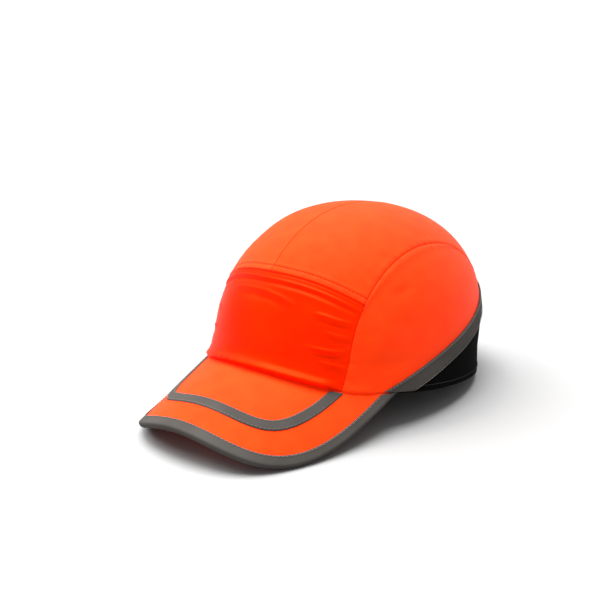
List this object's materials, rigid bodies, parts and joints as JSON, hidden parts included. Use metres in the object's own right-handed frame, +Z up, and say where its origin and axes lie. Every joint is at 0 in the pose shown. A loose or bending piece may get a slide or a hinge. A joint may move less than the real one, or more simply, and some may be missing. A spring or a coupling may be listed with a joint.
{
  "type": "bump cap",
  "caption": "Baseball-style high-visibility safety bump cap with a curved brim, grey reflective trim, black lower back panel, vented removable insert with foam pads and a hook-and-loop strap.",
  "frame": {"origin": "centre of the bounding box at the level that the cap stands on", "axes": "+Z up, -Y to the front of the brim, +X to the wearer's left; the cap is tipped back by 10 degrees, as it lies on a table on its brim and the back of its hem"},
  "size_m": [0.1824, 0.2856, 0.1327],
  "materials": {
    "orange_polyester": "matt fluorescent orange woven polyester",
    "orange_satin": "satin fluorescent orange polyester",
    "reflective_tape": "grey retroreflective tape, satin",
    "black_mesh": "matt black spacer mesh",
    "black_webbing": "woven black polyester",
    "hook_and_loop": "black hook-and-loop pile",
    "cotton_tape": "black cotton tape",
    "sweatband_terry": "black brushed terry",
    "brim_board": "natural polyethylene sheet",
    "insert_plastic": "moulded black ABS, fine texture",
    "foam": "dark grey closed-cell foam with a cloth face",
    "label": "blank white woven label"
  },
  "bodies": {
    "cap": {"brim_board": "brim_board", "brim_edge_binding": "reflective_tape", "brim_reflective_stripe": "reflective_tape", "brim_top_cover": "orange_polyester", "brim_under_cover": "orange_polyester", "care_label": "label", "crown_panel_left": "orange_polyester", "crown_panel_right": "orange_polyester", "front_panel": "orange_satin", "front_panel_backing": "cotton_tape", "rear_opening_binding": "black_webbing", "rear_panel": "black_mesh", "rear_reflective_tape": "reflective_tape", "seam_tape_center": "cotton_tape", "seam_tape_left": "cotton_tape", "seam_tape_right": "cotton_tape", "side_panel_left": "orange_polyester", "side_panel_right": "orange_polyester", "strap_anchor_right": "black_webbing", "strap_left": "black_webbing", "strap_loop_patch": "hook_and_loop", "sweatband": "sweatband_terry"},
    "insert": {"insert_shell": "insert_plastic", "foam_pad_crown": "foam", "foam_pad_front": "foam", "foam_pad_left": "foam", "foam_pad_rear": "foam", "foam_pad_right": "foam"},
    "strap": {"strap_tail": "black_webbing", "strap_hook_patch": "hook_and_loop"}
  },
  "joints": [
    {"name": "insert_slide", "type": "slide", "parent": "cap", "child": "insert", "axis": [0, -0.2824, -0.9593], "range_m": [0, 0.13]},
    {"name": "strap_peel", "type": "hinge", "parent": "cap", "child": "strap", "pos_m": [-0.03167, 0.12561, 0.01208], "axis": [0.0314, 0.1861, 0.982], "range_deg": [0, 70]}
  ]
}
